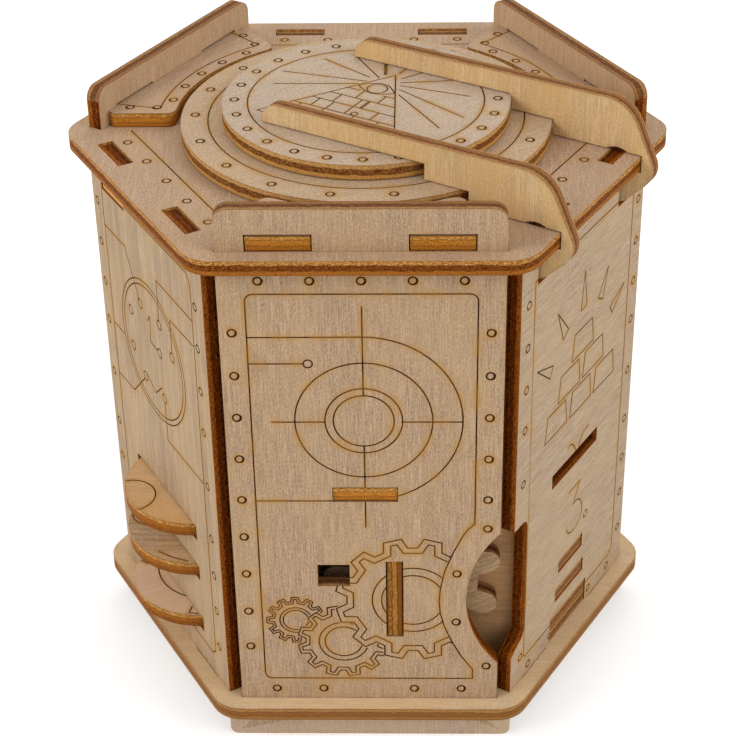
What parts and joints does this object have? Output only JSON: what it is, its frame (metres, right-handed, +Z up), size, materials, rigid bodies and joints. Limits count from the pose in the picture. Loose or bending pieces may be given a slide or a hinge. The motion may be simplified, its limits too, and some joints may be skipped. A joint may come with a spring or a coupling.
{
  "type": "puzzle box",
  "caption": "Hexagonal plywood puzzle box with lid discs, hooked sliding arms, finger dials and a lobed thumb wheel.",
  "frame": {"origin": "under the centre of the box, on the surface that its feet stand on", "axes": "+Z up; -Y towards the front wall, which has the finger cut-out at its right edge; +X to the right seen from the front"},
  "size_m": [0.1588, 0.14, 0.17],
  "materials": {
    "board": "raw birch plywood, laser cut",
    "arm_board": "raw birch plywood, laser cut, yellower",
    "inner_board": "raw birch plywood, laser cut",
    "dowel": "turned hardwood dowel"
  },
  "bodies": {
    "carcass": {"arc_key_front": "board", "arc_key_left_rear": "board", "arc_key_right_rear": "board", "base_plate": "board", "bridge_key": "board", "corner_shelf": "inner_board", "dial_spacer_1": "inner_board", "dial_spacer_2": "inner_board", "dial_spacer_3": "inner_board", "dial_spacer_4": "inner_board", "dial_spindle": "dowel", "front_wall": "board", "left_front_wall": "board", "left_rear_wall": "board", "lid_plate": "board", "middle_shelf": "inner_board", "rack_back": "inner_board", "rack_block_lower": "inner_board", "rack_block_upper": "inner_board", "rack_shelf_lower": "inner_board", "rack_shelf_upper": "inner_board", "rear_wall": "board", "right_front_wall": "board", "right_rear_wall": "board", "wheel_back_board": "inner_board", "wheel_hub": "inner_board"},
    "lower_disc": {"disc_lower": "board"},
    "upper_disc": {"disc_upper": "board", "disc_spindle": "dowel", "spindle_collar": "inner_board"},
    "draw_arms": {"arm_front": "arm_board", "arm_rear": "arm_board", "arm_tie": "inner_board"},
    "top_dial": {"dial_top": "board"},
    "middle_dial": {"dial_middle": "board"},
    "bottom_dial": {"dial_bottom": "board"},
    "wheel": {"thumb_wheel": "board", "thumb_wheel_collar": "board"}
  },
  "joints": [
    {"name": "lower_disc_turn", "type": "hinge", "parent": "carcass", "child": "lower_disc", "pos_m": [0, 0, 0.1581], "axis": [0, 0, 1], "continuous": true},
    {"name": "upper_disc_turn", "type": "hinge", "parent": "carcass", "child": "upper_disc", "pos_m": [0, 0, 0.1625], "axis": [0, 0, 1], "continuous": true},
    {"name": "arm_slide", "type": "slide", "parent": "carcass", "child": "draw_arms", "axis": [0.866, -0.5, 0], "range_m": [0, 0.0138]},
    {"name": "top_dial_turn", "type": "hinge", "parent": "carcass", "child": "top_dial", "pos_m": [-0.04832, -0.0279, 0.0587], "axis": [0, 0, 1], "continuous": true},
    {"name": "middle_dial_turn", "type": "hinge", "parent": "carcass", "child": "middle_dial", "pos_m": [-0.04832, -0.0279, 0.0449], "axis": [0, 0, 1], "continuous": true},
    {"name": "bottom_dial_turn", "type": "hinge", "parent": "carcass", "child": "bottom_dial", "pos_m": [-0.04832, -0.0279, 0.0265], "axis": [0, 0, 1], "continuous": true},
    {"name": "thumb_wheel_turn", "type": "hinge", "parent": "carcass", "child": "wheel", "pos_m": [0.0122, -0.055, 0.0485], "axis": [0, 1, 0], "continuous": true}
  ]
}
